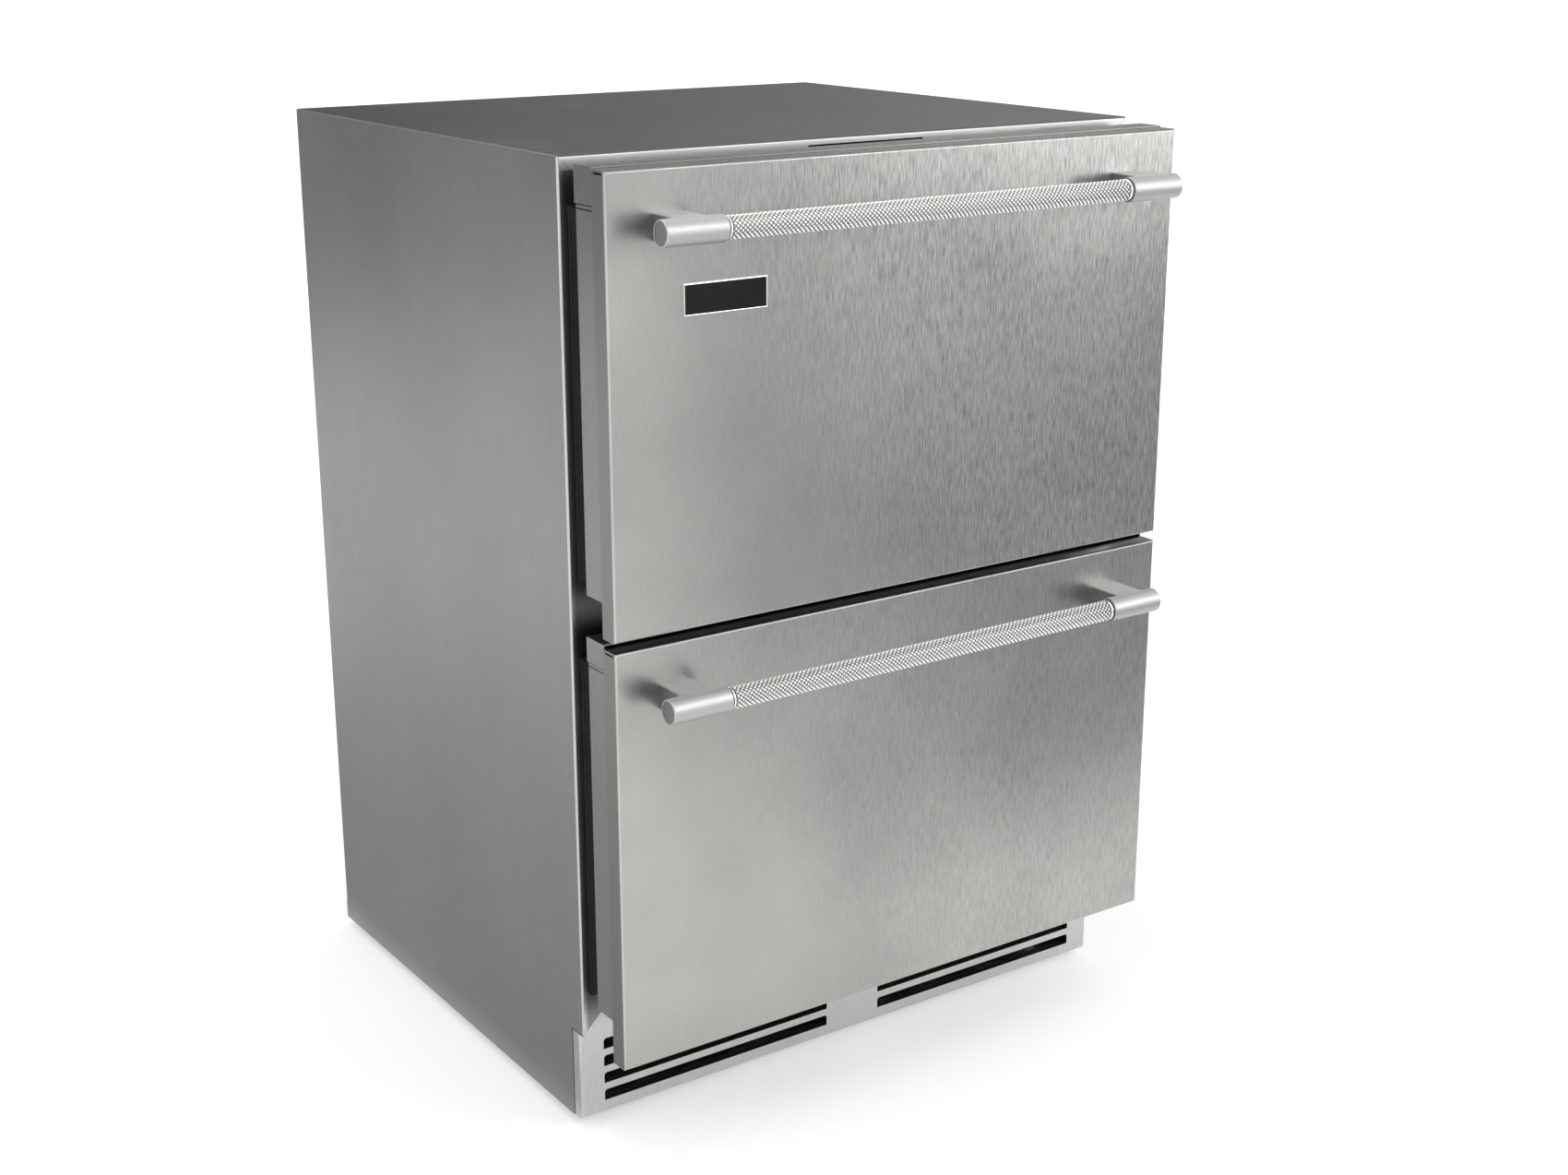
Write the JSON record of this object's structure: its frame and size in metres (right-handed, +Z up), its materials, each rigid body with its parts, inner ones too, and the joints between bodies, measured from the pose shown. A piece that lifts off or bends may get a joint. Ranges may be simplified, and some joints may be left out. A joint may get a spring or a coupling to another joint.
{
  "type": "undercounter drawer refrigerator",
  "caption": "Undercounter refrigerator with stacked pull-out drawers on telescopic slides, knurled bar handles, a louvred toe grille and levelling legs.",
  "frame": {"origin": "on the floor under the middle of the whole appliance, handles included", "axes": "+Z up, -Y towards the drawer fronts, +X towards the right side as seen from the front"},
  "size_m": [0.606, 0.6316, 0.8696],
  "materials": {
    "case_steel": "satin",
    "front_steel": "vertical brushed",
    "grille_steel": "satin",
    "liner_steel": "satin",
    "satin_steel": "satin",
    "galvanised": "galvanised",
    "slide_zinc": "zinc plated",
    "screw_zinc": "zinc plated",
    "foam": "matte",
    "black_gloss": "gloss",
    "black_plastic": "matte",
    "fan_plastic": "matte",
    "white_plastic": "satin",
    "lens": "frosted",
    "coil_metal": "satin",
    "copper": "satin",
    "black_paint": "satin",
    "black_rubber": "matte"
  },
  "bodies": {
    "cabinet": {"outer_wrap": "case_steel", "bottom_rail": "case_steel", "mullion": "case_steel", "inner_liner": "liner_steel", "foam_insulation": "foam", "back_panel": "galvanised", "bay_housing": "galvanised", "rear_cover": "galvanised", "base_pan": "galvanised", "toe_grille": "grille_steel", "air_baffle": "galvanised", "control_strip": "black_gloss", "control_module": "black_plastic", "light_bar": "lens", "evaporator_cover": "white_plastic", "evaporator_coil": "coil_metal", "evaporator_fan_motor": "black_plastic", "condenser_coil": "coil_metal", "condenser_fan_shroud": "galvanised", "condenser_fan_motor": "black_plastic", "compressor": "black_paint", "compressor_mounts": "black_rubber", "filter_drier": "copper", "refrigerant_lines": "copper", "drain_tray": "black_plastic", "cord_gland": "black_rubber", "case_screws": "screw_zinc", "leg_bushes": "screw_zinc", "upper_outer_slides": "slide_zinc", "lower_outer_slides": "slide_zinc"},
    "upper_drawer": {"upper_front_skin": "front_steel", "upper_inner_panel": "front_steel", "upper_front_core": "foam", "upper_top_rail": "front_steel", "upper_gasket": "black_rubber", "upper_handle_grip": "satin_steel", "upper_handle_posts": "satin_steel", "upper_bin": "liner_steel", "upper_bin_screws": "screw_zinc", "upper_inner_slides": "slide_zinc", "badge_plate": "black_gloss"},
    "lower_drawer": {"lower_front_skin": "front_steel", "lower_inner_panel": "front_steel", "lower_front_core": "foam", "lower_top_rail": "front_steel", "lower_gasket": "black_rubber", "lower_handle_grip": "satin_steel", "lower_handle_posts": "satin_steel", "lower_bin": "liner_steel", "lower_bin_screws": "screw_zinc", "lower_inner_slides": "slide_zinc"},
    "upper_slide_middles": {"upper_middle_slides": "slide_zinc"},
    "lower_slide_middles": {"lower_middle_slides": "slide_zinc"},
    "condenser_fan": {"condenser_fan": "fan_plastic"},
    "evaporator_fan": {"evaporator_fan": "fan_plastic"},
    "leg_front_left": {"leg_front_left": "screw_zinc"},
    "leg_front_right": {"leg_front_right": "screw_zinc"},
    "leg_rear_left": {"leg_rear_left": "screw_zinc"},
    "leg_rear_right": {"leg_rear_right": "screw_zinc"}
  },
  "joints": [
    {"name": "upper_drawer_slide", "type": "slide", "parent": "cabinet", "child": "upper_drawer", "axis": [0, -1, 0], "range_m": [0, 0.4]},
    {"name": "upper_middles_slide", "type": "slide", "parent": "cabinet", "child": "upper_slide_middles", "axis": [0, -1, 0], "range_m": [0, 0.2]},
    {"name": "lower_drawer_slide", "type": "slide", "parent": "cabinet", "child": "lower_drawer", "axis": [0, -1, 0], "range_m": [0, 0.4]},
    {"name": "lower_middles_slide", "type": "slide", "parent": "cabinet", "child": "lower_slide_middles", "axis": [0, -1, 0], "range_m": [0, 0.2]},
    {"name": "condenser_fan_spin", "type": "hinge", "parent": "cabinet", "child": "condenser_fan", "pos_m": [-0.143, 0.2046, 0.105], "axis": [1, 0, 0], "continuous": true},
    {"name": "evaporator_fan_spin", "type": "hinge", "parent": "cabinet", "child": "evaporator_fan", "pos_m": [0, 0.22085, 0.7356], "axis": [0, 1, 0], "continuous": true},
    {"name": "leg_front_left_travel", "type": "slide", "parent": "cabinet", "child": "leg_front_left", "axis": [0, 0, 1], "range_m": [-0.025, 0]},
    {"name": "leg_front_right_travel", "type": "slide", "parent": "cabinet", "child": "leg_front_right", "axis": [0, 0, 1], "range_m": [-0.025, 0]},
    {"name": "leg_rear_left_travel", "type": "slide", "parent": "cabinet", "child": "leg_rear_left", "axis": [0, 0, 1], "range_m": [-0.025, 0]},
    {"name": "leg_rear_right_travel", "type": "slide", "parent": "cabinet", "child": "leg_rear_right", "axis": [0, 0, 1], "range_m": [-0.025, 0]}
  ],
  "couplings": [
    {"joint": "upper_middles_slide", "follows": "upper_drawer_slide", "ratio": 0.5},
    {"joint": "lower_middles_slide", "follows": "lower_drawer_slide", "ratio": 0.5}
  ]
}
